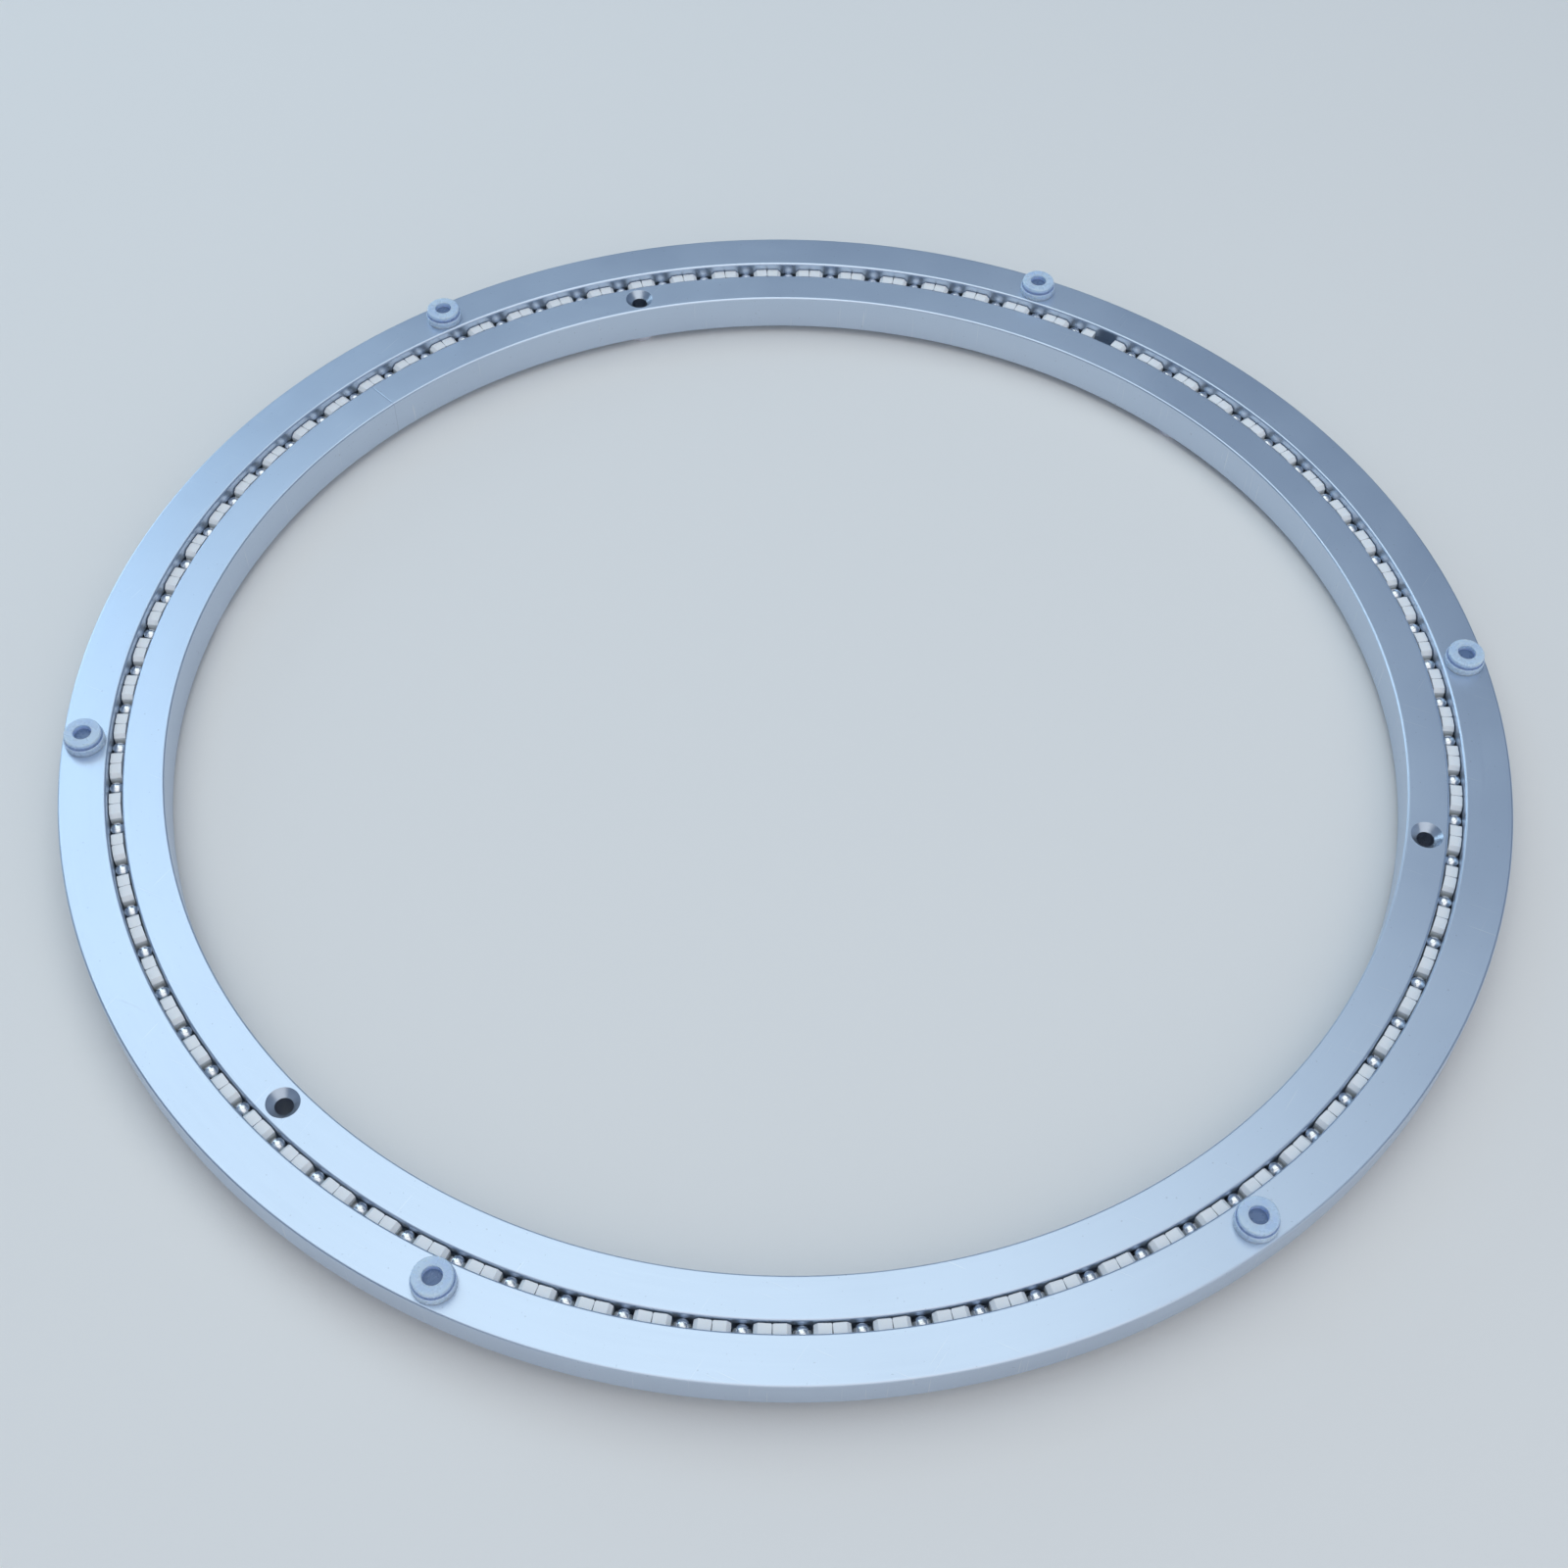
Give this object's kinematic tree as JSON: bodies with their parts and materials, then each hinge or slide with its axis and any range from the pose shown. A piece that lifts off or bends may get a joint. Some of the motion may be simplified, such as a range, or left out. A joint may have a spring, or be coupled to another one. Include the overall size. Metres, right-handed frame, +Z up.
{
  "type": "lazy susan bearing",
  "caption": "Flat aluminium ring bearing for a turntable: the outer ring turns on loose steel balls in plastic retainers round the inner ring, with rubber pads on top and feet below.",
  "frame": {"origin": "on the axis the ring turns about, in the plane that the feet stand on", "axes": "+Z up along that axis; +X to the right and +Y away from the viewer as the picture shows it"},
  "size_m": [0.5, 0.5, 0.0252],
  "materials": {
    "ring_metal": "satin anodised, silver, edges slightly rounded",
    "clear_rubber": "soft clear rubber with a faint blue cast",
    "retainer_plastic": "moulded natural white plastic, slightly waxy",
    "ball_steel": "polished hardened steel"
  },
  "bodies": {
    "base": {"inner_ring": "ring_metal", "foot_1": "clear_rubber", "foot_2": "clear_rubber", "foot_3": "clear_rubber", "foot_4": "clear_rubber", "foot_5": "clear_rubber", "foot_6": "clear_rubber"},
    "turntable": {"outer_ring": "ring_metal", "pad_1": "clear_rubber", "pad_2": "clear_rubber", "pad_3": "clear_rubber", "pad_4": "clear_rubber", "pad_5": "clear_rubber", "pad_6": "clear_rubber"},
    "ball_row": {"ball_retainers_1": "retainer_plastic", "ball_retainers_2": "retainer_plastic", "ball_retainers_3": "retainer_plastic", "ball_retainers_4": "retainer_plastic", "ball_retainers_5": "retainer_plastic", "ball_retainers_6": "retainer_plastic", "balls_1": "ball_steel", "balls_2": "ball_steel", "balls_3": "ball_steel", "balls_4": "ball_steel", "balls_5": "ball_steel", "balls_6": "ball_steel"}
  },
  "joints": [
    {"name": "ring_spin", "type": "hinge", "parent": "base", "child": "turntable", "pos_m": [0, 0, 0.0131], "axis": [0, 0, 1], "continuous": true},
    {"name": "row_spin", "type": "hinge", "parent": "base", "child": "ball_row", "pos_m": [0, 0, 0.0131], "axis": [0, 0, 1], "continuous": true}
  ],
  "couplings": [
    {"joint": "row_spin", "follows": "ring_spin", "ratio": 0.50648}
  ]
}
